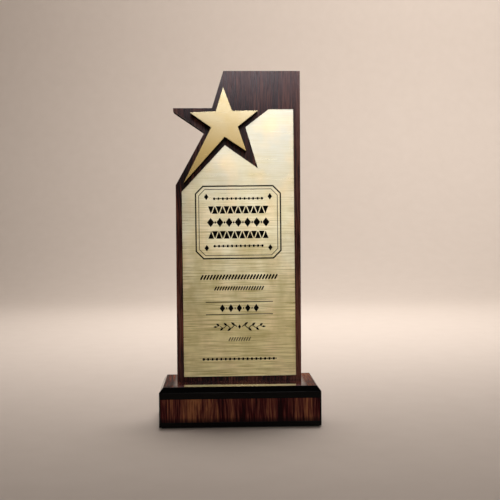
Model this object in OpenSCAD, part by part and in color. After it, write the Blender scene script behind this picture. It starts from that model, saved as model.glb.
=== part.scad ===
// Standing wooden award plaque: a walnut-faced board with a comet-star outline stands on a
// bevelled base block. A thick star and an engraver's face plate are taped to its front.
// Millimetres. +Z is up, the front looks along -Y, and the origin is the middle of the underside.

/* [Base] */
// Width of the base, left to right
base_w = 126; // [116:1:150]
// Depth of the base, front to back
base_d = 65; // [50:1:90]
// Height of the base, felt included
base_h = 32.1; // [28:0.1:45]
// How far the top bevel runs in from each side
bevel_in = 3; // [1:0.1:6]
// How far the top bevel drops
bevel_drop = 4.4; // [1:0.1:4.4]
// Height of the bottom black band, felt included
foot_band = 4.6; // [3:0.1:6]
// Height of the walnut panels let into the four sides
panel_h = 18.1; // [12:0.1:18.5]
// Black strip left at each end of a side panel
panel_end = 1.2; // [0.6:0.1:3]
// Thickness of the felt under the base
felt_t = 1; // [0.5:0.1:2]
// Gap from the edge of the base to the felt
felt_inset = 2; // [1:0.5:5]

/* [Board] */
// Width of the board
board_w = 100; // [96:1:110]
// Height of the board above the base
board_h = 248.4; // [244:0.1:270]
// Thickness of the board's core
core_t = 13.4; // [11:0.2:18]
// Thickness of each sheet of walnut laminate
laminate_t = 0.8; // [0.5:0.1:1]
// Distance from the front of the base to the front of the board
board_setback = 28; // [22:1:32]

/* [Star] */
// Distance from the star's centre to its four short tips
star_r = 28.2; // [26:0.1:30]
// Distance from the star's centre to its inner corners
star_inner_r = 11.1; // [10:0.1:12]
// Distance from the star's centre to the tip of its long lower-left arm
comet_r = 57.4; // [50:0.1:58]
// Counter-clockwise tilt of the star, as it was set by hand
star_tilt = 1.6; // [0:0.1:2]
// Thickness of the star's block
star_t = 14; // [8:0.5:18]

/* [Face plate] */
// Width of the face plate
plate_w = 90.2; // [86:0.2:94]
// Gap between the top of the base and the face plate
plate_gap = 3.5; // [2:0.1:8]
// Thickness of the face plate and of the star's plate
plate_t = 0.5; // [0.3:0.1:1]
// Counter-clockwise tilt of the face plate, as it was set by hand
plate_tilt = 0.3; // [0:0.1:0.6]

/* [Hidden] */
$fn = 48;
cut = 1;                // how far a cutter runs past the face that it opens

// Colours
black_lacquer = [0.03, 0.03, 0.03];
walnut = [0.30, 0.17, 0.12];
gold = [0.86, 0.72, 0.40];
pale_gold = [0.90, 0.84, 0.62];
felt_black = [0.08, 0.09, 0.08];
adhesive = [0.85, 0.85, 0.82];
zinc = [0.75, 0.75, 0.72];
beech = [0.80, 0.64, 0.45];

// Base
core_h = base_h - felt_t;                   // height of the base's core
top_lip = 0.4;                              // black edge left round the top laminate
top_w = base_w - 2 * (bevel_in + top_lip);  // size of the top laminate
top_d = base_d - 2 * (bevel_in + top_lip);

// Board: its front and back faces, and the middle of its thickness
board_front = -base_d / 2 + board_setback;
core_front = board_front + laminate_t;
board_mid = core_front + core_t / 2;

// Star's centre on the board: x, and height above the base
star_at = [-10.9, 205.4];

// Layers in front of the board
foam_t = 0.3;           // double-sided tape behind the star
film_t = 0.15;          // adhesive film behind the plates
tape_inset = 2;         // how far each tape stays inside the piece that it holds

// Fixings between the base and the board
screw_x = 22;           // screws, to each side of the middle
dowel_x = 38;           // dowels, to each side of the middle
screw_shank_r = 2;
screw_hole_r = 2.3;
screw_root_r = 1.4;     // at the bottom of the thread
screw_head_r = 4;
screw_head_h = 2.4;
screw_sunk = 0.4;       // how far the head sits above the base's underside
screw_top = base_h + 22;
thread_pitch = 2;
thread_turns = 9;
screw_point = 4;        // length of the plain point above the thread
screw_end_gap = 0.4;    // room left above the point
recess_w = 1;           // cross recess in the head
recess_span = 4.4;
recess_depth = 1.6;
dowel_r = 3;
dowel_len = 30;
dowel_chamfer = 0.8;
dowel_spare = 0.5;      // room left past each end of a dowel

// ---- outlines, as [x, height] points that run clockwise ----

// Star with the long arm at the lower left; even corners are tips, odd ones inner corners
function star_corner_r(k) = k == 6 ? comet_r : k % 2 == 0 ? star_r : star_inner_r;
function star_corner(k) =
    star_corner_r(k) * [cos(90 + star_tilt - 36 * k), sin(90 + star_tilt - 36 * k)];
star_outline = [for (k = [0:9]) star_at + star_corner(k)];

// Board: a rectangle whose upper left follows the star
board_outline = [
    [-board_w / 2, 0],
    [-board_w / 2, star_at.y - 48],         // shoulder under the long arm
    star_at + [-15.8, -6],                  // between the long arm and the left arm
    star_at + [-40.7, 11],                  // blunt tip of the left arm
    star_at + [-40.7, 13.4],
    star_at + [-9.7, 13.4],                 // between the left arm and the top arm
    [star_at.x - 0.4, board_h],
    [board_w / 2, board_h],
    [board_w / 2, 0]
];

// Face plate: a rectangle cut away round the star
plate_top = star_at.y + 12.2;
plate_outline = [
    [-plate_w / 2, plate_gap],
    [-plate_w / 2, star_at.y - 53],         // beside the tip of the long arm
    star_at + [0.8, -16],                   // between the long arm and the lower right arm
    star_at + [26.8, -34.5],                // under the lower right tip
    star_at + [17.3, -1.9],                 // between the lower right arm and the right arm
    [star_at.x + 36, plate_top],
    [plate_w / 2, plate_top],
    [plate_w / 2, plate_gap]
];

// An outline with every edge moved outwards by m, or inwards if m is negative
function normal(a, b) = [a.y - b.y, b.x - a.x] / norm(b - a);
function moved_corner(a, b, c, m) =
    let (n1 = normal(a, b), n2 = normal(b, c)) b + m * (n1 + n2) / (1 + n1 * n2);
function grown(p, m) =
    let (n = len(p))
    [for (i = [0:n - 1]) moved_corner(p[(i + n - 1) % n], p[i], p[(i + 1) % n], m)];

// ---- shapes that repeat ----

// A flat sheet standing on the base: its outline, the y of its back face and its thickness
module upright_sheet(outline, back_y, t)
    translate([0, back_y, base_h]) rotate([90, 0, 0]) linear_extrude(t) polygon(outline);

// A block centred on the Z axis with its four top edges bevelled
module bevelled_block(w, d, h, in, drop) {
    intersection() {
        rotate([90, 0, 0]) translate([0, 0, -d / 2]) linear_extrude(d) bevelled_end(w, h, in, drop);
        rotate([90, 0, 90]) translate([0, 0, -w / 2]) linear_extrude(w) bevelled_end(d, h, in, drop);
    }
}

// End view of a bevelled block
module bevelled_end(w, h, in, drop)
    polygon([[-w / 2, 0], [-w / 2, h - drop], [-w / 2 + in, h],
             [w / 2 - in, h], [w / 2, h - drop], [w / 2, 0]]);

// A walnut panel for a side of the base, standing with its face at y = 0
module side_panel(w)
    translate([-w / 2, 0, foot_band]) cube([w, laminate_t, panel_h]);

// Places a side panel on the front, back, left or right of the base
module on_front() translate([0, -base_d / 2, 0]) children();
module on_back() rotate([0, 0, 180]) on_front() children();
module on_left() translate([-base_w / 2, 0, 0]) rotate([0, 0, -90]) children();
module on_right() rotate([0, 0, 180]) on_left() children();

// Copies children to both sides of the middle, on the board's centre plane
module both_sides(x)
    for (side = [-1, 1]) translate([side * x, board_mid, 0]) children();

// Holes for the screws and the dowels, shared by every piece that they pass through
module screw_holes() {
    both_sides(screw_x) {
        translate([0, 0, felt_t - cut]) cylinder(r = screw_head_r, h = cut + screw_sunk);
        translate([0, 0, felt_t + screw_sunk])
            cylinder(r1 = screw_head_r, r2 = screw_hole_r, h = screw_head_h);
        cylinder(r = screw_hole_r, h = base_h + cut);
    }
}
module dowel_holes()
    both_sides(dowel_x)
        translate([0, 0, base_h - dowel_len / 2 - dowel_spare])
            cylinder(r = dowel_r, h = dowel_len + 2 * dowel_spare);

// ---- base ----

module base_core() {
    color(black_lacquer)
    difference() {
        translate([0, 0, felt_t]) bevelled_block(base_w, base_d, core_h, bevel_in, bevel_drop);
        on_front() panel_pocket(base_w - 2 * panel_end);
        on_back() panel_pocket(base_w - 2 * panel_end);
        on_left() panel_pocket(base_d - 2 * panel_end);
        on_right() panel_pocket(base_d - 2 * panel_end);
        translate([-top_w / 2, -top_d / 2, base_h - laminate_t]) cube([top_w, top_d, laminate_t + cut]);
        screw_holes();
        dowel_holes();
    }
}

// Pocket for a side panel, open to the outside
module panel_pocket(w)
    translate([-w / 2, -cut, foot_band]) cube([w, laminate_t + cut, panel_h]);

module base_front_laminate() color(walnut) on_front() side_panel(base_w - 2 * panel_end);
module base_back_laminate() color(walnut) on_back() side_panel(base_w - 2 * panel_end);
module base_left_laminate() color(walnut) on_left() side_panel(base_d - 2 * panel_end);
module base_right_laminate() color(walnut) on_right() side_panel(base_d - 2 * panel_end);

module base_top_laminate() {
    color(walnut)
    difference() {
        translate([-top_w / 2, -top_d / 2, base_h - laminate_t]) cube([top_w, top_d, laminate_t]);
        screw_holes();
        dowel_holes();
    }
}

module base_felt()
    color(felt_black)
        translate([felt_inset - base_w / 2, felt_inset - base_d / 2, 0])
            cube([base_w - 2 * felt_inset, base_d - 2 * felt_inset, felt_t]);

// ---- board ----

module board_core() {
    color(black_lacquer)
    difference() {
        upright_sheet(board_outline, core_front + core_t, core_t);
        both_sides(screw_x)
            translate([0, 0, base_h - cut]) cylinder(r = screw_shank_r, h = screw_top - base_h + cut);
        dowel_holes();
    }
}

module board_front_laminate()
    color(walnut) upright_sheet(board_outline, core_front, laminate_t);

module board_back_laminate()
    color(walnut) upright_sheet(board_outline, core_front + core_t + laminate_t, laminate_t);

// ---- fixings ----

// Half section of a countersunk wood screw, as [radius, height] from the flat of its head
head_z = felt_t + screw_sunk;
thread_z = screw_top - screw_point - thread_turns * thread_pitch;
thread_profile = [for (i = [0:thread_turns - 1], step = [0:1])
    step == 0 ? [screw_root_r, thread_z + i * thread_pitch]
              : [screw_shank_r, thread_z + (i + 0.5) * thread_pitch]];
screw_profile = concat(
    [[0, head_z], [screw_head_r, head_z], [screw_shank_r, head_z + screw_head_h],
     [screw_shank_r, thread_z - thread_pitch / 2]],
    thread_profile,
    [[screw_root_r, screw_top - screw_point], [0, screw_top - screw_end_gap]]);

module board_screws() {
    color(zinc)
    both_sides(screw_x)
    difference() {
        rotate_extrude() polygon(screw_profile);
        for (turn = [0, 90])
            rotate([0, 0, turn])
                translate([-recess_span / 2, -recess_w / 2, head_z - cut])
                    cube([recess_span, recess_w, cut + recess_depth]);
    }
}

// Half section of a dowel with chamfered ends, from its middle
dowel_half = dowel_len / 2;
dowel_profile = [
    [0, -dowel_half], [dowel_r - dowel_chamfer, -dowel_half], [dowel_r, dowel_chamfer - dowel_half],
    [dowel_r, dowel_half - dowel_chamfer], [dowel_r - dowel_chamfer, dowel_half], [0, dowel_half]
];

module board_dowels()
    color(beech) both_sides(dowel_x) translate([0, 0, base_h]) rotate_extrude() polygon(dowel_profile);

// ---- star ----

star_back = board_front - foam_t;
star_front = star_back - star_t;

module star_tape()
    color(adhesive) upright_sheet(grown(star_outline, -tape_inset), board_front, foam_t);

module star_block()
    color(black_lacquer) upright_sheet(star_outline, star_back, star_t);

module star_plate_tape()
    color(adhesive) upright_sheet(grown(star_outline, -tape_inset), star_front, film_t);

module star_plate()
    color(gold) upright_sheet(star_outline, star_front - film_t, plate_t);

// ---- face plate ----

// Turns children about the middle of the face plate
module plate_turn() {
    pivot = [0, 0, base_h + (plate_gap + plate_top) / 2];
    translate(pivot) rotate([0, -plate_tilt, 0]) translate(-pivot) children();
}

module face_plate_tape()
    color(adhesive) plate_turn() upright_sheet(grown(plate_outline, -tape_inset), board_front, film_t);

module face_plate()
    color(pale_gold) plate_turn() upright_sheet(plate_outline, board_front - film_t, plate_t);

base_core();
base_front_laminate();
base_back_laminate();
base_left_laminate();
base_right_laminate();
base_top_laminate();
base_felt();
board_core();
board_front_laminate();
board_back_laminate();
board_screws();
board_dowels();
star_block();
star_tape();
star_plate();
star_plate_tape();
face_plate();
face_plate_tape();
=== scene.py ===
"""Looks of the standing star award plaque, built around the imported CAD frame.

Everything is in metres in the shared frame: +Z is up and the front looks along -Y.
MM turns the millimetres that a plaque maker would use into metres.
"""
import math

import bmesh
import bpy
from mathutils import Matrix, Vector


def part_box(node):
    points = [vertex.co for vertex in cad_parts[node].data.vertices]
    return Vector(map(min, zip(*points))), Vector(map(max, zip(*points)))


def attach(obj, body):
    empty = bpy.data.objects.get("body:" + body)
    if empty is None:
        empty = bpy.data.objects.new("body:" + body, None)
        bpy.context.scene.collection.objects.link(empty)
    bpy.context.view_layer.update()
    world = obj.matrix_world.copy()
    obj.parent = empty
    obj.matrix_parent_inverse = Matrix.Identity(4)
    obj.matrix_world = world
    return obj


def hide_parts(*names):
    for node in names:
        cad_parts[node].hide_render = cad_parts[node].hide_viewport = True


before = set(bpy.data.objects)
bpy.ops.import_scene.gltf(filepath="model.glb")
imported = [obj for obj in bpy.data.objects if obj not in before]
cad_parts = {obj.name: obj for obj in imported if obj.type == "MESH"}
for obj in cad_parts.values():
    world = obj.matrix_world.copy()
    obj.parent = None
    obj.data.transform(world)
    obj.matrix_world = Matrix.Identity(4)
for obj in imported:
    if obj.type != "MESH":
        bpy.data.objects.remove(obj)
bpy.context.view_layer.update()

MM = 0.001
BODY = "root"
SCENE = bpy.context.scene
SCENE.view_settings.view_transform = "Standard"


# ---------------------------------------------------------------- shader helpers

# Places of the colour sockets on the Mix node
MIX_A, MIX_B, MIX_RESULT = 6, 7, 2


class Shader:
    """A material's node tree, with one short call for each kind of node that it needs."""

    def __init__(self, name):
        self.material = bpy.data.materials.new(name)
        self.material.use_nodes = True
        self.nodes = self.material.node_tree.nodes
        self.links = self.material.node_tree.links
        self.bsdf = self.nodes["Principled BSDF"]

    def node(self, kind, **settings):
        made = self.nodes.new(kind)
        for key, value in settings.items():
            setattr(made, key, value)
        return made

    def put(self, socket, value):
        """Links value into socket if it is another node's output, and sets it if it is a number."""
        if isinstance(value, bpy.types.NodeSocket):
            self.links.new(value, socket)
        else:
            socket.default_value = value

    def coords(self, scale=(1, 1, 1), rotation=(0, 0, 0), location=(0, 0, 0), base=None):
        """Object coordinates in metres, or base if it is given, scaled, turned and moved."""
        mapping = self.node("ShaderNodeMapping")
        if base is None:
            base = self.node("ShaderNodeTexCoord").outputs["Object"]
        self.put(mapping.inputs["Vector"], base)
        mapping.inputs["Scale"].default_value = scale
        mapping.inputs["Rotation"].default_value = rotation
        mapping.inputs["Location"].default_value = location
        return mapping.outputs["Vector"]

    def place(self, axis):
        """The object's X, Y or Z in metres."""
        parted = self.node("ShaderNodeSeparateXYZ")
        self.put(parted.inputs["Vector"], self.coords())
        return parted.outputs[axis]

    def noise(self, vector, scale=1.0, detail=2.0, roughness=0.5, distortion=0.0, colour=False):
        made = self.node("ShaderNodeTexNoise")
        self.put(made.inputs["Vector"], vector)
        made.inputs["Scale"].default_value = scale
        made.inputs["Detail"].default_value = detail
        made.inputs["Roughness"].default_value = roughness
        made.inputs["Distortion"].default_value = distortion
        return made.outputs["Color" if colour else "Fac"]

    def wave(self, vector, period, distortion, detail_scale):
        """Sawtooth bands of that period across X, Y and Z together."""
        period_at_scale_one = 2 * math.pi / 10
        made = self.node("ShaderNodeTexWave", wave_type="BANDS", bands_direction="DIAGONAL",
                         wave_profile="SAW")
        self.put(made.inputs["Vector"], vector)
        made.inputs["Scale"].default_value = period_at_scale_one / period
        made.inputs["Distortion"].default_value = distortion
        made.inputs["Detail"].default_value = 2.0
        made.inputs["Detail Scale"].default_value = detail_scale
        return made.outputs["Fac"]

    def ramp(self, fac, stops):
        """A colour ramp. Each stop is (place, grey level) or (place, (r, g, b))."""
        made = self.node("ShaderNodeValToRGB")
        elements = made.color_ramp.elements
        while len(elements) < len(stops):
            elements.new(0.5)
        for element, (place, colour) in zip(elements, stops):
            element.position = place
            grey = isinstance(colour, (int, float))
            element.color = (colour,) * 3 + (1,) if grey else (*colour, 1)
        self.put(made.inputs["Fac"], fac)
        return made.outputs["Color"]

    def mix(self, fac, a, b, blend="MIX"):
        made = self.node("ShaderNodeMix", data_type="RGBA", blend_type=blend)
        self.put(made.inputs["Factor"], fac)
        for socket, value in ((made.inputs[MIX_A], a), (made.inputs[MIX_B], b)):
            self.put(socket, value if isinstance(value, bpy.types.NodeSocket) else (*value, 1))
        return made.outputs[MIX_RESULT]

    def wander(self, vector, texture, reach):
        """The vector moved by up to reach each way, as a coloured texture goes from 0 to 1."""
        return self.mix(reach, vector, texture, blend="ADD")

    def maths(self, operation, a, b=0.5, c=0.5):
        made = self.node("ShaderNodeMath", operation=operation)
        for socket, value in zip(made.inputs, (a, b, c)):
            self.put(socket, value)
        return made.outputs["Value"]

    def climb(self, value, low, high):
        """0 where the value is low or less and 1 where it is high or more."""
        made = self.node("ShaderNodeMapRange")
        self.put(made.inputs["Value"], value)
        made.inputs["From Min"].default_value = low
        made.inputs["From Max"].default_value = high
        return made.outputs["Result"]

    def between(self, fac, at_zero, at_one):
        """at_zero where fac is 0, at_one where it is 1, and in proportion between."""
        return self.maths("MULTIPLY_ADD", fac, at_one - at_zero, at_zero)

    def vary(self, base, texture, amount):
        """The base, half the amount lower where the texture is 0 and half higher where it is 1."""
        return self.maths("MULTIPLY_ADD", self.maths("SUBTRACT", texture, 0.5), amount, base)

    def total(self, first, *others):
        """The sum of values times their weights, from (value, weight) pairs."""
        result = self.maths("MULTIPLY", *first)
        for value, weight in others:
            result = self.maths("MULTIPLY_ADD", value, weight, result)
        return result

    def bump(self, height, distance, strength=1.0, normal=None):
        made = self.node("ShaderNodeBump")
        self.put(made.inputs["Height"], height)
        made.inputs["Distance"].default_value = distance
        made.inputs["Strength"].default_value = strength
        if normal is not None:
            self.put(made.inputs["Normal"], normal)
        return made.outputs["Normal"]

    def surface(self, **sockets):
        """Sets or links the Principled shader's sockets; underscores stand for spaces."""
        for key, value in sockets.items():
            socket = self.bsdf.inputs[key.replace("_", " ")]
            if isinstance(value, tuple) and len(value) == 3 and socket.type == "RGBA":
                value = (*value, 1)
            self.put(socket, value)
        return self.material


# ---------------------------------------------------------------- materials

# (dark, middle, light, pale) colours of the walnut under each finish
WALNUT_GLOSSY = ((0.036, 0.0014, 0.0028), (0.078, 0.0120, 0.0105), (0.145, 0.0400, 0.0250),
                 (0.320, 0.1200, 0.0480))
WALNUT_POLISHED = ((0.050, 0.0040, 0.0030), (0.120, 0.0200, 0.0090), (0.200, 0.0540, 0.0220),
                   (0.320, 0.1200, 0.0420))
WALNUT_SATIN = ((0.013, 0.0015, 0.0012), (0.040, 0.0070, 0.0052), (0.082, 0.0200, 0.0125),
                (0.190, 0.0600, 0.0360))
# Painted shade at the foot of the glossy base panels
FOOT_SHADE_BLACK = (0.004, 0.001, 0.002)


def walnut(name, tones, grain_axis, seed, ring, figure, roughness, specular, coat=0.0, foot_shade=None,
           rubbed=None):
    """Walnut laminate. tones are (dark, middle, light, pale) colours, grain_axis is the way the
    grain runs, seed picks the stretch of veneer, ring is the usual width of a growth ring and
    figure is how strongly its streaks stand out. The pair of heights for the foot shade puts painted
    shade along the edge below: darkest at the first height and faded out at the second. rubbed is a
    pair of distances from the middle, to either side, between which the clear coat thins to a quarter."""
    s = Shader(name)
    place = (seed, seed * 0.37, seed * 0.71)

    def along_grain(shrink):
        """Scales that draw a pattern out along the grain."""
        return {"Y": (1, shrink, 1), "Z": (1, 1, shrink)}[grain_axis]

    # The grain lines wander sideways slowly on their way up, and the rings crowd and spread
    sway = s.noise(s.coords(scale=(14, 14, 14), location=place), detail=1.5, colour=True)
    swayed = s.wander(s.coords(), sway, 6 * MM)
    lines = s.coords(scale=along_grain(0.05), location=place, base=swayed)
    crowd = s.noise(lines, scale=38, detail=1.0, colour=True)
    crowded = s.wander(lines, crowd, 14 * MM)

    rings = s.ramp(s.wave(crowded, ring, distortion=2.5, detail_scale=2.0),
                   [(0.0, 0.35), (0.15, 0.66), (0.55, 0.62), (0.80, 0.36), (0.92, 0.10), (1.0, 0.35)])
    zones = s.noise(lines, scale=32, detail=1.0, roughness=0.4)
    bands = s.noise(lines, scale=110, detail=2.0, roughness=0.5)
    streaks = s.noise(lines, scale=700, detail=3, roughness=0.6)
    fibres = s.noise(lines, scale=2600, detail=2)
    pore_lines = s.coords(scale=along_grain(0.022), location=place, base=swayed)
    pores = s.ramp(s.noise(pore_lines, scale=3300, detail=0.0), [(0.60, 0.0), (0.72, 1.0)])

    grain = s.maths("ADD", s.total((rings, 0.22), (zones, 0.60)), 0.25)
    grain = s.vary(grain, bands, 0.55 * figure)
    grain = s.vary(grain, streaks, 0.65 * figure)
    grain = s.vary(grain, fibres, 0.08)
    dark, middle, light, pale = tones
    deep = tuple(0.30 * channel for channel in dark)
    colour = s.ramp(grain, [(0.44, deep), (0.53, dark), (0.61, middle), (0.70, light), (0.84, pale)])
    colour = s.mix(s.maths("MULTIPLY", pores, 0.6), colour, deep)
    # Painted shade: the panel darkens towards its lower edge, unevenly along the streaks
    if foot_shade:
        clear = s.vary(s.climb(s.place("Z"), *foot_shade), streaks, 0.5)
        colour = s.mix(s.ramp(clear, [(0.0, 0.85), (0.5, 0.55), (1.0, 0.0)]), colour, FOOT_SHADE_BLACK)

    if rubbed:
        outwards = s.climb(s.maths("ABSOLUTE", s.place("X")), *rubbed)
        coat = s.between(outwards, coat, coat / 4)
    rough = s.vary(roughness, streaks, 0.12)
    rough = s.maths("MULTIPLY_ADD", s.noise(s.coords(scale=(60, 60, 60)), detail=3), 0.05, rough)
    relief = s.maths("SUBTRACT", s.maths("MULTIPLY", fibres, 0.4), pores)
    return s.surface(Base_Color=colour, Roughness=rough, Specular_IOR_Level=specular,
                     Specular_Tint=(1.0, 0.86, 0.93), Coat_Weight=coat, Coat_Roughness=0.03,
                     Coat_IOR=1.5, Normal=s.bump(relief, distance=0.02 * MM, strength=0.35))


def black_lacquer():
    """Deep gloss lacquer: orange peel, faint polishing haze and a little dust."""
    s = Shader("black_lacquer")
    black, dust_grey = (0.0014, 0.0012, 0.0013), (0.09, 0.085, 0.08)
    peel = s.noise(s.coords(scale=(420, 420, 420)), detail=1.5)
    haze = s.noise(s.coords(scale=(35, 35, 80)), detail=4, roughness=0.6)
    dust = s.ramp(s.noise(s.coords(scale=(5200, 5200, 5200)), detail=0.0), [(0.74, 0.0), (0.80, 1.0)])
    colour = s.mix(s.maths("MULTIPLY", dust, 0.25), black, dust_grey)
    return s.surface(Base_Color=colour, Roughness=s.between(haze, 0.04, 0.12), Specular_IOR_Level=0.10,
                     Normal=s.bump(peel, distance=0.03 * MM, strength=0.25))


def black_edge_paint():
    """Flat black paint on cut board edges: brush drag and sanding marks under it."""
    s = Shader("black_edge_paint")
    black, greyer = (0.004, 0.0033, 0.0032), (0.019, 0.0160, 0.0150)
    drag = s.noise(s.coords(scale=(260, 2600, 260)), detail=3, roughness=0.6)
    blotch = s.noise(s.coords(scale=(70, 70, 70)), detail=3)
    tone = s.total((blotch, 0.4), (drag, 0.6))
    colour = s.mix(s.ramp(tone, [(0.35, 0.0), (0.65, 1.0)]), black, greyer)
    return s.surface(Base_Color=colour, Roughness=s.between(drag, 0.30, 0.48), Specular_IOR_Level=0.0,
                     Normal=s.bump(drag, distance=0.03 * MM, strength=0.3))


def brushed_gold(low, high):
    """Anodised sheet brushed sideways, with long fine scratches and soft smudges. Its colour also holds
    a painted reflection: olive and darker towards its bottom edge, at the height low, and pale at its top,
    at the height high."""
    s = Shader("brushed_gold")
    warm, tarnish_shade_olive, wear_shade_olive = (1.0, 0.80, 0.50), (0.61, 0.54, 0.25), (0.50, 0.43, 0.18)
    wave = s.noise(s.coords(scale=(6, 6, 14)), detail=1.0, colour=True)
    bent = s.wander(s.coords(), wave, 0.6 * MM)
    scratches = s.noise(s.coords(scale=(22, 1, 2600), base=bent), detail=2.5, roughness=0.7)
    lines = s.noise(s.coords(scale=(30, 1, 1500), base=bent), detail=2.0, roughness=0.6)
    streaks = s.noise(s.coords(scale=(30, 1, 760), location=(3, 0, 1), base=bent), detail=2.5,
                      roughness=0.65)
    clouds = s.noise(s.coords(scale=(26, 1, 20), location=(1, 0, 4)), detail=2.5)
    smudges = s.noise(s.coords(scale=(70, 1, 48), location=(5, 0, 2)), detail=3.5, roughness=0.55)
    warmth = s.noise(s.coords(scale=(48, 1, 40), location=(7, 0, 9)), detail=2.5)

    # Painted reflection: the tone follows the height, brightest across the middle and greyer towards the
    # top
    rise = s.vary(s.climb(s.place("Z"), low, high), clouds, 0.5)
    colour = s.ramp(rise, [(0.0, (0.97, 0.88, 0.50)), (0.2, (0.90, 0.80, 0.44)), (0.5, (1.0, 0.955, 0.70)),
                           (0.75, (0.74, 0.71, 0.55)), (1.0, (0.70, 0.730, 0.670))])
    colour = s.mix(s.ramp(warmth, [(0.45, 0.0), (0.68, 0.55)]), colour, warm)
    # The smudges and the brush wear are real marks, but their olive is weighted towards the bottom edge as
    # painted shade
    tarnish_and_painted_shade = s.maths("MULTIPLY", s.ramp(smudges, [(0.42, 0.0), (0.66, 1.0)]),
                        s.ramp(rise, [(0.0, 0.55), (0.35, 0.70), (0.65, 0.30), (1.0, 0.06)]))
    colour = s.mix(tarnish_and_painted_shade, colour, tarnish_shade_olive)
    tone = s.total((lines, 0.40), (streaks, 0.60))
    wear_and_painted_shade = s.maths("MULTIPLY", s.ramp(tone, [(0.38, 1.0), (0.56, 0.0)]),
                   s.ramp(rise, [(0.0, 0.95), (0.35, 0.80), (0.65, 0.38), (1.0, 0.15)]))
    colour = s.mix(wear_and_painted_shade, colour, wear_shade_olive)

    relief = s.total((lines, 0.4), (scratches, 0.6))
    waviness = s.noise(s.coords(scale=(16, 1, 16), location=(0.4, 0, 0.2)), detail=1.0)
    warp = s.bump(waviness, distance=0.9 * MM)
    tangent = s.node("ShaderNodeTangent", direction_type="UV_MAP", uv_map="brush").outputs["Tangent"]
    return s.surface(Base_Color=colour, Metallic=1.0, Roughness=s.between(lines, 0.22, 0.38),
                     Anisotropic=0.75, Tangent=tangent,
                     Normal=s.bump(relief, distance=0.035 * MM, strength=0.35, normal=warp))


def satin_gold(low, high):
    """Smooth satin gold sheet: fine frosting, soft stains and a few hairline rubs. A painted reflection
    makes it deeper in colour at the height low and paler at the height high."""
    s = Shader("satin_gold")
    stain_gold = (0.56, 0.42, 0.17)
    frost = s.noise(s.coords(scale=(4200, 4200, 4200)), detail=1.0)
    stain = s.noise(s.coords(scale=(65, 65, 65), location=(2, 0, 5)), detail=3, roughness=0.55)
    rubs = s.ramp(s.noise(s.coords(scale=(90, 1, 2400), rotation=(0, 0.6, 0)), detail=0.5),
                  [(0.70, 0.0), (0.76, 1.0)])
    # Painted reflection: deeper gold low on the star, paler gold high up
    colour = s.ramp(s.climb(s.place("Z"), low, high),
                    [(0.0, (0.68, 0.48, 0.17)), (0.35, (0.64, 0.48, 0.20)),
                     (0.60, (0.60, 0.50, 0.29)), (1.0, (0.68, 0.64, 0.475))])
    colour = s.mix(s.ramp(stain, [(0.42, 0.0), (0.70, 0.6)]), colour, stain_gold)
    rough = s.maths("MULTIPLY_ADD", rubs, 0.05, s.between(stain, 0.20, 0.30))
    return s.surface(Base_Color=colour, Metallic=1.0, Roughness=rough,
                     Normal=s.bump(frost, distance=0.004 * MM, strength=0.12))


def ink():
    """Black screen ink: slightly raised, eggshell, thin at a few specks."""
    s = Shader("black_ink")
    black, thin = (0.0022, 0.0018, 0.0015), (0.016, 0.013, 0.008)
    grain = s.noise(s.coords(scale=(1800, 1800, 1800)), detail=2)
    colour = s.mix(s.ramp(grain, [(0.45, 0.0), (0.8, 1.0)]), black, thin)
    return s.surface(Base_Color=colour, Roughness=s.between(grain, 0.35, 0.55), Specular_IOR_Level=0.05,
                     Normal=s.bump(grain, distance=0.01 * MM, strength=0.3))


def felt():
    """Black wool felt: matted fibres and lint."""
    s = Shader("felt")
    black, charcoal, lint_grey = (0.006, 0.007, 0.006), (0.035, 0.038, 0.036), (0.16, 0.16, 0.15)
    tufts = s.noise(s.coords(scale=(900, 900, 900)), detail=4, roughness=0.7, distortion=0.8)
    lint = s.ramp(s.noise(s.coords(scale=(2600, 700, 1600), rotation=(0.3, 0.2, 0.9)), detail=1),
                  [(0.68, 0.0), (0.78, 1.0)])
    colour = s.mix(tufts, black, charcoal)
    colour = s.mix(s.maths("MULTIPLY", lint, 0.35), colour, lint_grey)
    return s.surface(Base_Color=colour, Roughness=0.95, Specular_IOR_Level=0.15, Sheen_Weight=0.4,
                     Sheen_Roughness=0.5, Normal=s.bump(tufts, distance=0.3 * MM, strength=0.6))


def adhesive():
    """Milky double-sided tape with trapped air."""
    s = Shader("adhesive")
    milky, airy = (0.62, 0.61, 0.56), (0.80, 0.80, 0.76)
    air = s.noise(s.coords(scale=(600, 600, 600)), detail=3)
    colour = s.mix(s.ramp(air, [(0.45, 0.0), (0.7, 1.0)]), milky, airy)
    return s.surface(Base_Color=colour, Roughness=s.between(air, 0.35, 0.65),
                     Normal=s.bump(air, distance=0.05 * MM, strength=0.3))


def zinc():
    """Zinc-plated screw: turned rings and a slightly blotchy plating."""
    s = Shader("zinc_steel")
    dull, bright = (0.50, 0.50, 0.49), (0.72, 0.71, 0.66)
    rings = s.noise(s.coords(scale=(200, 200, 3500)), detail=2)
    blotch = s.noise(s.coords(scale=(500, 500, 500)), detail=3)
    return s.surface(Base_Color=s.mix(blotch, dull, bright), Metallic=1.0,
                     Roughness=s.between(blotch, 0.25, 0.45),
                     Normal=s.bump(rings, distance=0.02 * MM, strength=0.3))


def beech():
    """Plain beech dowel, grain lengthwise, with short flecks."""
    s = Shader("beech")
    brown, cream, fleck_brown = (0.44, 0.27, 0.14), (0.66, 0.46, 0.27), (0.26, 0.14, 0.07)
    grain = s.noise(s.coords(scale=(900, 900, 40)), detail=4)
    flecks = s.ramp(s.noise(s.coords(scale=(2400, 2400, 300)), detail=1), [(0.62, 0.0), (0.72, 1.0)])
    colour = s.mix(s.maths("MULTIPLY", flecks, 0.5), s.mix(grain, brown, cream), fleck_brown)
    return s.surface(Base_Color=colour, Roughness=0.6,
                     Normal=s.bump(grain, distance=0.05 * MM, strength=0.4))


# ---------------------------------------------------------------- pieces that stand for CAD nodes

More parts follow.
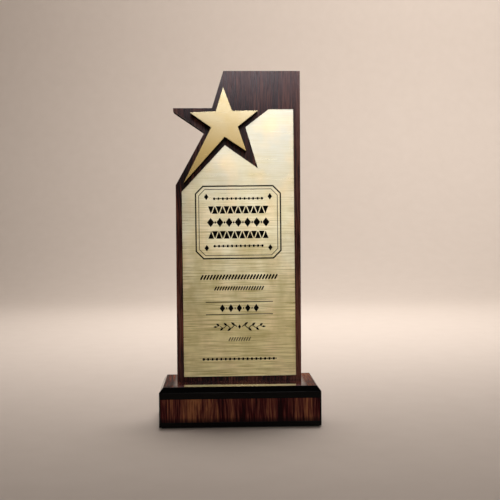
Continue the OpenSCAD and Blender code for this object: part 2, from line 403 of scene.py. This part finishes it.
WELD = 0.001 * MM           # corners nearer than this are one corner
FLUSH = 0.01 * MM           # a corner nearer than this to a plane lies in it
FLAT = math.radians(0.5)    # faces that turn by less than this are one flat face
SHARP = math.radians(25)    # an edge that turns by more than this is eased
EASE_SEGMENTS = 3
LACQUER_EASE = 0.30 * MM
LAMINATE_EASE = 0.08 * MM
PLATE_EASE = 0.22 * MM
BLOCK_EASE = 0.25 * MM

ROLL_OFF = 8 * MM           # how far in from its edges the base's polished top starts to fall
ROLL_STEPS = 8
ROLL_ANGLE = math.radians(4.5)
ROLL_DROP = ROLL_OFF / 2 * math.tan(ROLL_ANGLE)


def clean_copy(node):
    """The CAD node's mesh as a bmesh with its flat faces whole again."""
    bm = bmesh.new()
    bm.from_mesh(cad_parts[node].data)
    bmesh.ops.remove_doubles(bm, verts=bm.verts, dist=WELD)
    bmesh.ops.dissolve_limit(bm, angle_limit=FLAT, verts=bm.verts, edges=bm.edges)
    bm.normal_update()
    return bm


def buffed(bm):
    """Makes the top of the base's top laminate fall away gently towards its four edges, as hard
    buffing leaves it."""
    xs, ys, zs = ([v.co[axis] for v in bm.verts] for axis in range(3))
    sides = ((0, min(xs), 1), (0, max(xs), -1), (1, min(ys), 1), (1, max(ys), -1))
    for axis, edge, inwards in sides:
        for step in range(1, ROLL_STEPS + 1):
            place, normal = Vector(), Vector()
            place[axis] = edge + inwards * step * ROLL_OFF / ROLL_STEPS
            normal[axis] = 1
            bmesh.ops.bisect_plane(bm, geom=bm.verts[:] + bm.edges[:] + bm.faces[:],
                                   plane_co=place, plane_no=normal)
    for vert in bm.verts:
        if vert.co.z > max(zs) - FLUSH:
            gap = min(abs(vert.co[axis] - edge) for axis, edge, _ in sides)
            vert.co.z -= ROLL_DROP * max(0, 1 - gap / ROLL_OFF) ** 2


def lowered_lip(bm):
    """Brings the black lip of the base's core down to the buffed edge of the top laminate."""
    top = max(v.co.z for v in bm.verts)
    for vert in bm.verts:
        if vert.co.z > top - FLUSH:
            vert.co.z -= ROLL_DROP


def add_piece(name, mesh, material):
    """A new object for the plaque, riding on its one body."""
    piece = bpy.data.objects.new(name, mesh)
    SCENE.collection.objects.link(piece)
    piece.data.materials.append(material)
    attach(piece, BODY)
    return piece


def eased(node, material, ease, shortest=0.0, shaped=None):
    """A copy of a CAD node that stands for it, with its sharp edges eased by that much, apart from
    those no longer than shortest. shaped is a function that works on the copy first."""
    bm = clean_copy(node)
    if shaped:
        shaped(bm)
    edges = [e for e in bm.edges
             if len(e.link_faces) == 2 and e.calc_face_angle(0) > SHARP and e.calc_length() > shortest]
    bmesh.ops.bevel(bm, geom=edges, offset=ease, offset_type="OFFSET", segments=EASE_SEGMENTS,
                    profile=0.5, affect="EDGES", clamp_overlap=True)
    for face in bm.faces:
        face.smooth = True
    mesh = bpy.data.meshes.new(node + "_skin")
    bm.to_mesh(mesh)
    bm.free()
    piece = add_piece(node + "_skin", mesh, material)
    weighted = piece.modifiers.new("weighted normals", "WEIGHTED_NORMAL")
    weighted.keep_sharp = True
    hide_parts(node)
    return piece


def brush_direction(piece):
    """A UV map whose U runs up the sheet, across the brush lines, for the shader's tangent."""
    uv = piece.data.uv_layers.new(name="brush")
    for loop in piece.data.loops:
        corner = piece.data.vertices[loop.vertex_index].co
        uv.data[loop.index].uv = (corner.z, corner.x)


# ---------------------------------------------------------------- print on the face plate
# Its sizes and places are in millimetres, from the middle of the plate's bottom edge.

INK_T = 0.06 * MM
INK_SUNK = INK_T / 3        # how far the ink reaches into the plate
CAP_STEP = 30               # degrees between the corners of a round end
BEAD_LENGTH = 1.02          # a bead is a capsule that is hardly longer than it is thick
LARGE_BEAD, SMALL_BEAD = 0.72, 0.36     # parts of the height of their row
BEAD_PITCH = 1.75
TOOTH_HALF = 0.74           # half of a tooth's foot, in steps: below 1, so that neighbours stay apart
LEAF_STEPS = 9
SHARPEST_MITRE = 0.4        # cosine that keeps the corners of a stroke from running out too far
PANEL_UP = 124              # height of the middle of the ruled panel


def plate_place():
    """The turn and the origin that bring (right, up, out) on the face plate into the shared frame."""
    bm = clean_copy("face_plate")
    front = min(v.co.y for v in bm.verts)
    corners = [v.co.copy() for v in bm.verts if v.co.y < front + FLUSH]
    bm.free()
    left, right = sorted(sorted(corners, key=lambda c: c.z)[:2], key=lambda c: c.x)
    along = (right - left).normalized()
    middle = (left + right) / 2
    out = Vector((0, -1, 0))
    return Matrix((along, out.cross(along), out)).transposed().to_4x4(), middle


class Print:
    """Flat shapes of ink on the face plate."""

    def __init__(self, name, material):
        self.name, self.material = name, material
        self.bm = bmesh.new()

    def shape(self, outline):
        """A closed outline of (right, up) points as a thin solid."""
        back = [self.bm.verts.new((x * MM, z * MM, -INK_SUNK)) for x, z in outline]
        front = [self.bm.verts.new((x * MM, z * MM, INK_T)) for x, z in outline]
        self.bm.faces.new(front)
        self.bm.faces.new(back[::-1])
        for i in range(len(outline)):
            j = (i + 1) % len(outline)
            self.bm.faces.new((back[i], back[j], front[j], front[i]))

    def capsule(self, x, up, length, thick, lean=0):
        """A bar with round ends, centred on (x, up), leaning that many degrees from level."""
        r, turn = thick / 2, math.radians(lean)
        reach = length / 2 - r
        outline = []
        for side, start in ((1, -90), (-1, 90)):
            for step in range(0, 181, CAP_STEP):
                a = math.radians(start + step)
                u, v = side * reach + r * math.cos(a), r * math.sin(a)
                outline.append((x + u * math.cos(turn) - v * math.sin(turn),
                                up + u * math.sin(turn) + v * math.cos(turn)))
        self.shape(outline)

    def rope(self, left, right, up, high, thick, pitch):
        """A rope moulding: leaning capsules in a row from left to right."""
        count = max(1, round((right - left) / pitch))
        step = (right - left) / count
        for k in range(count):
            self.capsule(left + step * (k + 0.5), up, high, thick, lean=62)

    def beads(self, left, right, up, high):
        """Large and small beads in turn from left to right."""
        count = max(1, round((right - left) / BEAD_PITCH))
        step = (right - left) / count
        for k in range(count):
            size = high * (LARGE_BEAD, SMALL_BEAD)[k % 2]
            self.capsule(left + step * (k + 0.5), up, size * BEAD_LENGTH, size)

    def dogtooth(self, left, right, foot, tip, count):
        """A dogtooth band: count triangles that interlock, every other one turned about. The first
        stands on the height foot and points to the height tip."""
        step = (right - left) / (count + 1)
        half = step * TOOTH_HALF
        for k in range(count):
            x = left + step * (k + 1)
            start, end = (foot, tip) if k % 2 == 0 else (tip, foot)
            self.shape([(x - half, start), (x + half, start), (x, end)])

    def lozenge(self, x, up, w, h):
        self.shape([(x + w / 2, up), (x, up + h / 2), (x - w / 2, up), (x, up - h / 2)])

    def lozenges(self, x, up, reach, pitch, large, small):
        """A row of lozenges centred on (x, up), reach of them to each side of the middle one, with
        small ones between them. large and small are a width and a height."""
        for k in range(-reach, reach + 1):
            self.lozenge(x + pitch * k, up, *large)
            if k < reach:
                self.lozenge(x + pitch * (k + 0.5), up, *small)

    def leaf(self, x, up, angle, length, width):
        """A pointed leaf that starts at (x, up), fullest before its middle."""
        sides = []
        for side in (1, -1):
            run = []
            for step in range(1, LEAF_STEPS):
                u = step / LEAF_STEPS
                run.append((u, side * width / 2 * math.sin(math.pi * u ** 0.85) ** 0.9))
            sides.append(run if side == -1 else run[::-1])
        local = [(1, 0)] + sides[0] + [(0, 0)] + sides[1]
        c, s = math.cos(angle), math.sin(angle)
        self.shape([(x + c * u * length - s * v, up + s * u * length + c * v) for u, v in local])

    def stroke(self, points, widths, closed=False):
        """A line through points with mitred corners. widths is one number or one for each point."""
        count = len(points)
        if isinstance(widths, (int, float)):
            widths = [widths] * count
        spots = [Vector(p) for p in points]
        levels = (INK_T, INK_T, -INK_SUNK, -INK_SUNK)
        rings = []
        for i, spot in enumerate(spots):
            ways = []
            if i > 0 or closed:
                ways.append((spot - spots[i - 1]).normalized())
            if i + 1 < count or closed:
                ways.append((spots[(i + 1) % count] - spot).normalized())
            normals = [Vector((-way.y, way.x)) for way in ways]
            mitre = sum(normals, Vector((0, 0))).normalized()
            reach = widths[i] / 2 / max(SHARPEST_MITRE, mitre.dot(normals[0]))
            sides = (spot + mitre * reach, spot - mitre * reach)
            rings.append([self.bm.verts.new((side.x * MM, side.y * MM, level))
                          for side, level in zip((*sides, *sides[::-1]), levels)])
        pairs = list(zip(rings, rings[1:] + rings[:1]))
        if not closed:
            pairs.pop()
            self.bm.faces.new(rings[0])
            self.bm.faces.new(rings[-1][::-1])
        for one, two in pairs:
            for j in range(4):
                k = (j + 1) % 4
                self.bm.faces.new((one[j], two[j], two[k], one[k]))

    def tapering(self, points, thick, thin):
        """A line through points that narrows evenly from thick to thin."""
        last = len(points) - 1
        self.stroke(points, [thick + (thin - thick) * i / last for i in range(last + 1)])

    def done(self):
        """Puts the shapes on the face plate as one piece."""
        bmesh.ops.recalc_face_normals(self.bm, faces=self.bm.faces)
        turn, middle = plate_place()
        bmesh.ops.transform(self.bm, matrix=Matrix.Translation(middle) @ turn, verts=self.bm.verts)
        mesh = bpy.data.meshes.new(self.name)
        self.bm.to_mesh(mesh)
        self.bm.free()
        piece = add_piece(self.name, mesh, self.material)


def print_panel(material):
    """A panel ruled twice with its corners cut off, and a lozenge inside each corner."""
    art = Print("print_panel", material)
    outer, inner = (34, 29, 6, 1.1), (31.5, 26.5, 5, 0.5)   # half width, half height, cut, thickness
    corner_x, corner_up = 25.5, 20.5                        # lozenges, from the middle of the panel
    for half_w, half_h, cut, thick in (outer, inner):
        quarter = [(half_w - cut, half_h), (half_w, half_h - cut)]
        right = quarter + [(x, -up) for x, up in reversed(quarter)]
        outline = right + [(-x, up) for x, up in reversed(right)]
        art.stroke([(x, PANEL_UP + up) for x, up in outline], widths=thick, closed=True)
    for x in (-corner_x, corner_x):
        for up in (-corner_up, corner_up):
            art.lozenge(x, PANEL_UP + up, 3.6, 5.2)
    art.done()


def print_bands(material):
    """Bands inside the panel: lozenges in the middle, then dogtooth, then beads, above and below."""
    art = Print("print_bands", material)
    tooth_near, tooth_far, beads_off = 7, 13, 19            # from the middle of the panel
    art.lozenges(0, PANEL_UP, reach=3, pitch=7.4, large=(5.6, 7.4), small=(1.6, 2.4))
    for way in (-1, 1):
        foot, tip = PANEL_UP + way * tooth_far, PANEL_UP + way * tooth_near
        art.dogtooth(-25, 25, foot, tip, count=15)
        art.beads(-20, 20, up=PANEL_UP + way * beads_off, high=2.9)
    art.done()


def print_lines(material):
    """Rope mouldings, rules, lozenges and beads below the panel."""
    art = Print("print_lines", material)
    art.rope(-31, 31, up=80, high=4.6, thick=1.35, pitch=2.5)
    art.rope(-20, 20, up=71, high=3.8, thick=1.1, pitch=2.1)
    art.rope(-9, 9, up=30, high=3.6, thick=0.8, pitch=2.1)
    art.beads(-30, 30, up=14, high=3.0)
    for up in (50, 60):
        art.stroke([(-27, up), (27, up)], widths=0.6)
    art.lozenges(0, 55, reach=2, pitch=6.8, large=(4.4, 6.4), small=(1.3, 1.9))
    art.done()


def print_flourish(material):
    """A vine: a wavy stem to either side of a lozenge, with a small leaf at every bend."""
    art = Print("print_flourish", material)
    middle_up = 40
    reach, gap, swing, bends = 18.0, 2.2, 1.3, 5
    steps = 12 * bends

    def stem(side, t):
        return (side * (gap + (reach - gap) * t),
                middle_up + swing * (1 - 0.4 * t) * math.sin(math.pi * bends * t))

    for side in (-1, 1):
        art.tapering([stem(side, i / steps) for i in range(steps + 1)], thick=0.75, thin=0.40)
        for k in range(bends):
            x, up = stem(side, (k + 0.5) / bends)
            lean = math.radians(38 if k % 2 == 0 else -38)
            heading = math.atan2(math.sin(lean), side * math.cos(lean))
            art.leaf(x, up, heading, length=3.9 - 0.25 * k, width=1.7)
        x, up = stem(side, 1)
        art.leaf(x, up, 0 if side == 1 else math.pi, length=3.0, width=1.4)
    art.lozenge(0, middle_up, 2.4, 3.6)
    art.done()


# ---------------------------------------------------------------- build the plaque

FOOT_SHADE_HEIGHT = 4 * MM        # how far the painted shade reaches up the base's panels from the band below
RUB_WIDTH = 3 * MM          # the clear coat on the base's top thins over this, past the board's ends


def heights(node):
    """The lowest and the highest Z of a CAD node."""
    return tuple(corner[2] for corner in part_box(node))


def build():
    panel_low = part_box("base_front_laminate")[0][2]
    board_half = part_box("board_front_laminate")[1][0]
    glossy = walnut("walnut_glossy", WALNUT_GLOSSY, grain_axis="Z", seed=80.07, ring=2.6 * MM, figure=1.3,
                    roughness=0.18, specular=0.10, foot_shade=(panel_low, panel_low + FOOT_SHADE_HEIGHT))
    polished = walnut("walnut_polished", WALNUT_POLISHED, grain_axis="Y", seed=5.3, ring=3.2 * MM,
                      figure=0.9, roughness=0.15, specular=0.0, coat=0.90,
                      rubbed=(board_half, board_half + RUB_WIDTH))
    satin = walnut("walnut_satin", WALNUT_SATIN, grain_axis="Z", seed=99.78, ring=2.6 * MM, figure=1.5,
                   roughness=0.15, specular=0.42)
    paint, black_ink = black_edge_paint(), ink()
    gold = satin_gold(*heights("star_plate"))
    pale_gold = brushed_gold(*heights("face_plate"))

    eased("base_core", black_lacquer(), LACQUER_EASE, shortest=3 * MM, shaped=lowered_lip)
    for side in ("front", "back", "left", "right"):
        eased(f"base_{side}_laminate", glossy, LAMINATE_EASE)
    eased("base_top_laminate", polished, LAMINATE_EASE, shaped=buffed)
    eased("board_core", paint, LAMINATE_EASE, shortest=2 * MM)
    for side in ("front", "back"):
        eased(f"board_{side}_laminate", satin, LAMINATE_EASE)
    eased("star_block", paint, BLOCK_EASE)
    eased("star_plate", gold, PLATE_EASE)
    brush_direction(eased("face_plate", pale_gold, PLATE_EASE))

    for node, material in (("base_felt", felt()), ("board_screws", zinc()), ("board_dowels", beech()),
                           ("star_tape", adhesive()), ("star_plate_tape", adhesive()),
                           ("face_plate_tape", adhesive())):
        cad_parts[node].material_slots[0].material = material

    for draw in (print_panel, print_bands, print_lines, print_flourish):
        draw(black_ink)


# ---------------------------------------------------------------- stage, light and camera

def stage_plane():
    """A pale floor that curves up into a backdrop behind the plaque."""
    half_w, front, turn_y, radius, high = 4.0, -4.0, 1.1, 0.7, 3.0
    flat = (front, -1.0, 0.0, turn_y)       # the row at 0 keeps the shading level under the plaque
    curve = [math.radians(degrees) for degrees in range(10, 91, 10)]
    profile = [(y, 0.0) for y in flat]
    profile += [(turn_y + radius * math.sin(a), radius - radius * math.cos(a)) for a in curve]
    profile.append((turn_y + radius, high))
    bm = bmesh.new()
    rows = [[bm.verts.new((x, y, z)) for x in (-half_w, half_w)] for y, z in profile]
    for a, b in zip(rows, rows[1:]):
        bm.faces.new((a[0], a[1], b[1], b[0])).smooth = True
    mesh = bpy.data.meshes.new("stage_floor")
    bm.to_mesh(mesh)
    bm.free()
    floor = bpy.data.objects.new("stage_floor", mesh)
    SCENE.collection.objects.link(floor)
    s = Shader("stage_floor")
    darker, paler = (0.60, 0.53, 0.48), (0.64, 0.57, 0.52)
    grain = s.noise(s.coords(scale=(40, 40, 40)), detail=3)
    s.surface(Base_Color=s.mix(grain, darker, paler), Roughness=0.75, Specular_IOR_Level=0.2)
    mesh.materials.append(s.material)


def area_light(name, place, target, size, watts, colour, spread=180):
    """A rectangular lamp that shines towards target, in a beam that is spread degrees wide."""
    data = bpy.data.lights.new(name, "AREA")
    data.spread = math.radians(spread)
    data.shape = "RECTANGLE"
    data.size, data.size_y = size
    data.energy = watts
    data.color = colour
    lamp = bpy.data.objects.new(name, data)
    lamp.location = place
    lamp.rotation_euler = (Vector(target) - Vector(place)).to_track_quat("-Z", "Y").to_euler()
    SCENE.collection.objects.link(lamp)


def lights():
    """Dim warm surroundings, two soft boxes and a small window in front, and a lamp each for the
    floor in front, the floor behind and the wall."""
    world = bpy.data.worlds.new("studio")
    SCENE.world = world
    world.use_nodes = True
    surroundings = world.node_tree.nodes["Background"]
    surroundings.inputs["Color"].default_value = (1.0, 0.85, 0.70, 1)
    surroundings.inputs["Strength"].default_value = 0.10
    area_light("softbox", place=(0.88, -2.3, 1.29), target=(0.73, 0, 0.89), size=(2.3, 1.4),
               watts=2.8, colour=(1.0, 0.94, 0.97), spread=80)
    area_light("window_strip", place=(0.09, -2.3, 0.80), target=(0.0, 0, 0.04), size=(0.40, 0.20),
               watts=0.25, colour=(1.0, 0.96, 0.92), spread=60)
    area_light("low_softbox", place=(0.98, -2.3, 0.36), target=(0.98, 0, 0.36), size=(1.9, 0.28),
               watts=0.95, colour=(1.0, 0.90, 0.76))
    area_light("front_pool", place=(0.36, -1.35, 1.2), target=(0.36, -1.35, 0), size=(0.50, 0.8),
               watts=2.6, colour=(1.0, 0.94, 0.86), spread=60)
    area_light("floor_light", place=(0.1, 0.50, 1.7), target=(0.1, 0.50, 0), size=(0.8, 0.8),
               watts=4.2, colour=(1.0, 0.95, 0.90), spread=60)
    area_light("wall_light", place=(0.80, 0.35, 1.7), target=(0.45, 1.8, 0.45), size=(1.6, 0.5),
               watts=15.5, colour=(1.0, 0.94, 0.87), spread=110)


def camera():
    """Straight ahead, a little above the middle of the plaque, with a touch of roll."""
    place = Vector((-16.5, -697.7, 155.5)) * MM
    yaw, pitch, roll = (math.radians(degrees) for degrees in (2.12, 1.51, -0.37))
    sensor_width, lens = 36.0, 62.14
    data = bpy.data.cameras.new("camera")
    data.sensor_width = sensor_width
    data.lens = lens
    eye = bpy.data.objects.new("camera", data)
    turn = (Matrix.Rotation(-yaw, 4, "Z") @ Matrix.Rotation(math.pi / 2 - pitch, 4, "X")
            @ Matrix.Rotation(roll, 4, "Z"))
    eye.matrix_world = Matrix.Translation(place) @ turn
    SCENE.collection.objects.link(eye)
    SCENE.camera = eye


build()
stage_plane()
lights()
camera()
